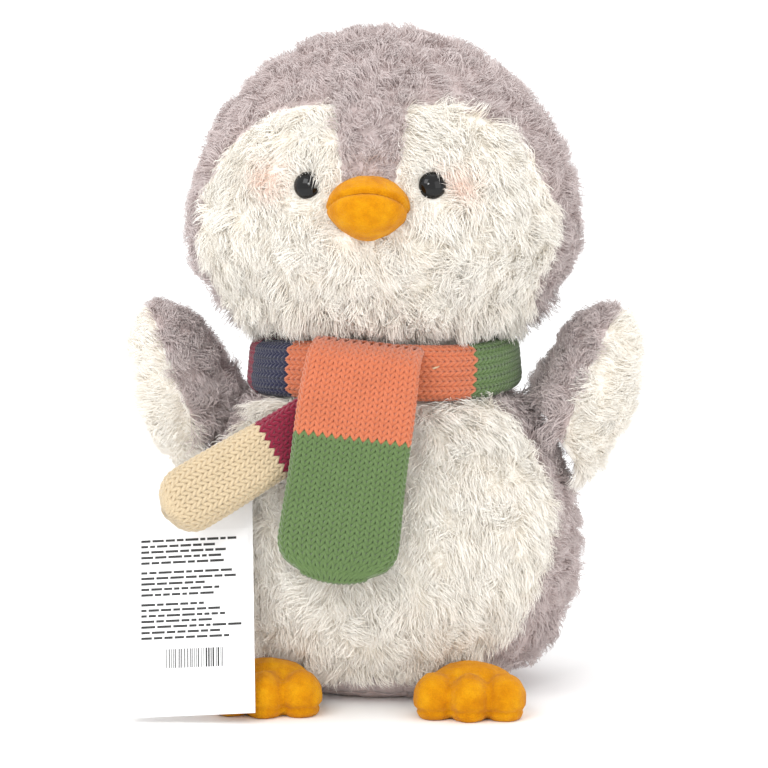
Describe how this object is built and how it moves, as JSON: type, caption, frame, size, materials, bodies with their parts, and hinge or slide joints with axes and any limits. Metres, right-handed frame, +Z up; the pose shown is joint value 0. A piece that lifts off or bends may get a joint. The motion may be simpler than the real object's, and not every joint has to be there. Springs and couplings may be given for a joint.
{
  "type": "plush penguin",
  "caption": "Seated soft penguin toy with fluffy fabric, a knitted scarf round its neck and a blank card tag.",
  "frame": {"origin": "centre of the flat base, on the surface that the penguin sits on", "axes": "+Z up, the penguin faces -Y, its own left side at +X"},
  "size_m": [0.1954, 0.153, 0.25],
  "materials": {
    "grey_fur": "curly faux-fur plush",
    "white_fur": "long-pile faux-fur plush",
    "yellow_plush": "short velvety pile",
    "stuffing": "polyester fibre fill",
    "knit_orange": "stockinette knit",
    "knit_green": "stockinette knit",
    "knit_cream": "stockinette knit",
    "knit_maroon": "stockinette knit",
    "knit_navy": "stockinette knit",
    "eye_plastic": "gloss",
    "washer_plastic": "matte",
    "barb_plastic": "satin",
    "tag_card": "satin",
    "tag_label": "matte"
  },
  "bodies": {
    "torso": {"belly_panel": "white_fur", "back_panel_left": "grey_fur", "back_panel_right": "grey_fur", "base_panel": "grey_fur", "body_stuffing": "stuffing", "scarf_band_orange": "knit_orange", "scarf_band_green": "knit_green", "scarf_band_cream": "knit_cream", "scarf_band_maroon": "knit_maroon", "scarf_band_navy": "knit_navy"},
    "neck": {"neck_stuffing": "stuffing"},
    "head": {"crown_gusset": "grey_fur", "head_side_left": "grey_fur", "head_side_right": "grey_fur", "face_panel_left": "white_fur", "face_panel_right": "white_fur", "head_stuffing": "stuffing", "beak_upper": "yellow_plush", "beak_lower": "yellow_plush", "beak_stuffing": "stuffing", "eye_left": "eye_plastic", "eye_right": "eye_plastic", "eye_washer_left": "washer_plastic", "eye_washer_right": "washer_plastic"},
    "wing_left": {"wing_outer_panel_left": "white_fur", "wing_inner_panel_left": "grey_fur", "wing_stuffing_left": "stuffing"},
    "wing_right": {"wing_outer_panel_right": "white_fur", "wing_inner_panel_right": "grey_fur", "wing_stuffing_right": "stuffing"},
    "foot_left": {"foot_upper_left": "yellow_plush", "foot_sole_left": "yellow_plush", "foot_stuffing_left": "stuffing"},
    "foot_right": {"foot_upper_right": "yellow_plush", "foot_sole_right": "yellow_plush", "foot_stuffing_right": "stuffing"},
    "front_tail": {"front_tail_orange": "knit_orange", "front_tail_green": "knit_green"},
    "side_tail": {"side_tail_maroon": "knit_maroon", "side_tail_cream": "knit_cream", "tag_fastener": "barb_plastic"},
    "tag": {"hang_tag": "tag_card", "tag_sticker": "tag_label"}
  },
  "joints": [
    {"name": "head_turn", "type": "hinge", "parent": "torso", "child": "neck", "pos_m": [0, 0, 0.122], "axis": [0, 0, 1], "range_deg": [-20, 20], "stiffness_Nm_per_rad": 0.3},
    {"name": "head_nod", "type": "hinge", "parent": "neck", "child": "head", "pos_m": [0, 0, 0.134], "axis": [1, 0, 0], "range_deg": [-6, 6], "stiffness_Nm_per_rad": 1},
    {"name": "wing_left_flap", "type": "hinge", "parent": "torso", "child": "wing_left", "pos_m": [-0.064, 0, 0.097], "axis": [0, 1, 0], "range_deg": [-14, 10], "stiffness_Nm_per_rad": 0.1},
    {"name": "wing_right_flap", "type": "hinge", "parent": "torso", "child": "wing_right", "pos_m": [0.064, 0, 0.097], "axis": [0, 1, 0], "range_deg": [-10, 14], "stiffness_Nm_per_rad": 0.1},
    {"name": "foot_left_flex", "type": "hinge", "parent": "torso", "child": "foot_left", "pos_m": [-0.037, -0.046, 0.01], "axis": [1, 0, 0], "range_deg": [-15, 8], "stiffness_Nm_per_rad": 0.05},
    {"name": "foot_right_flex", "type": "hinge", "parent": "torso", "child": "foot_right", "pos_m": [0.037, -0.046, 0.01], "axis": [1, 0, 0], "range_deg": [-15, 8], "stiffness_Nm_per_rad": 0.05},
    {"name": "front_tail_lift", "type": "hinge", "parent": "torso", "child": "front_tail", "pos_m": [-0.0015, -0.0603, 0.133], "axis": [1, 0, 0], "range_deg": [-60, 0]},
    {"name": "side_tail_swing", "type": "hinge", "parent": "torso", "child": "side_tail", "pos_m": [-0.02, -0.0573, 0.1055], "axis": [0, 1, 0], "range_deg": [-12, 25], "stiffness_Nm_per_rad": 0.08},
    {"name": "tag_swing", "type": "hinge", "parent": "side_tail", "child": "tag", "pos_m": [-0.066, -0.056, 0.078], "axis": [1, 0, 0], "range_deg": [-12, 0]}
  ]
}
